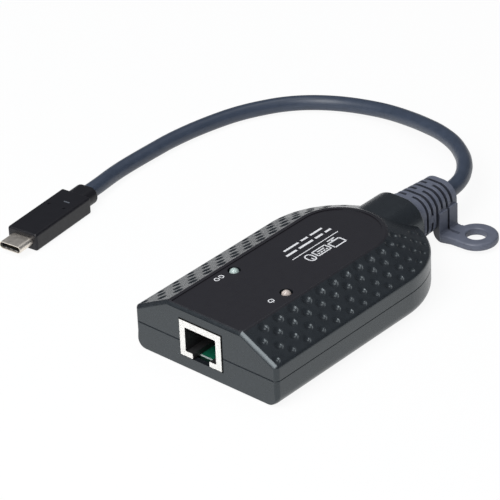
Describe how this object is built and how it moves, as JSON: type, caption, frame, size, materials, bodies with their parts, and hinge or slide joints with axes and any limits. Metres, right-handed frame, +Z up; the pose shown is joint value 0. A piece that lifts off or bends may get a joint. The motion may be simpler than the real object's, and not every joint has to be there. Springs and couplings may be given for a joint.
{
  "type": "kvm adapter",
  "caption": "Flat black housing with sloped shoulders and a round end, a modular network jack, status lamps and a captive cord with strain relief, hanging ring and USB-C plug.",
  "frame": {"origin": "on the base plane, under the centre of the housing's round end", "axes": "+Y towards the cord, -Y out of the jack, +X to the side with the hanging ring, +Z up"},
  "size_m": [0.1318, 0.1544, 0.0211],
  "materials": {
    "housing_plastic": "fine spark-eroded satin on black ABS",
    "screw_steel": "zinc plated",
    "board_laminate": "green solder mask",
    "jack_frame": "bright tin plated sheet",
    "jack_plastic": "moulded black",
    "gold_contact": "gold flash",
    "lamp_green": "water-clear epoxy with a green-blue tint",
    "lamp_orange": "water-clear epoxy with an orange tint",
    "tinned_lead": "tinned",
    "spacer_plastic": "moulded black",
    "chip_plastic": "moulded epoxy",
    "ferrite": "pressed ferrite",
    "bright_can": "drawn can",
    "ceramic": "fired ceramic",
    "header_nylon": "natural nylon",
    "wire_sleeve": "wire insulation",
    "relief_rubber": "slate grey satin elastomer",
    "cord_jacket": "slate blue satin jacket",
    "grip_plastic": "black overmould",
    "plug_steel": "nickel plated",
    "plug_plastic": "moulded black"
  },
  "bodies": {
    "root": {"top_cover": "housing_plastic", "bottom_cover": "housing_plastic", "cover_screws": "screw_steel", "circuit_board": "board_laminate", "jack_shield": "jack_frame", "jack_insert": "jack_plastic", "jack_contacts": "gold_contact", "link_led": "lamp_green", "power_led": "lamp_orange", "led_legs": "tinned_lead", "led_spacers": "spacer_plastic", "network_transformer": "chip_plastic", "processor_chip": "chip_plastic", "video_chip": "chip_plastic", "memory_chip": "chip_plastic", "flash_chip": "chip_plastic", "voltage_regulator": "chip_plastic", "power_inductor": "ferrite", "crystal": "bright_can", "filter_capacitors": "bright_can", "ceramic_capacitors": "ceramic", "wire_header": "header_nylon", "header_pins": "tinned_lead", "wire_plug": "header_nylon", "lead_wires": "wire_sleeve", "cable_tail": "cord_jacket", "strain_relief": "relief_rubber", "cable": "cord_jacket", "cable_head": "cord_jacket", "plug_grip": "grip_plastic", "plug_shell": "plug_steel", "plug_insert": "plug_plastic", "plug_contacts": "gold_contact", "plug_springs": "plug_steel", "plug_board": "board_laminate"}
  },
  "joints": []
}
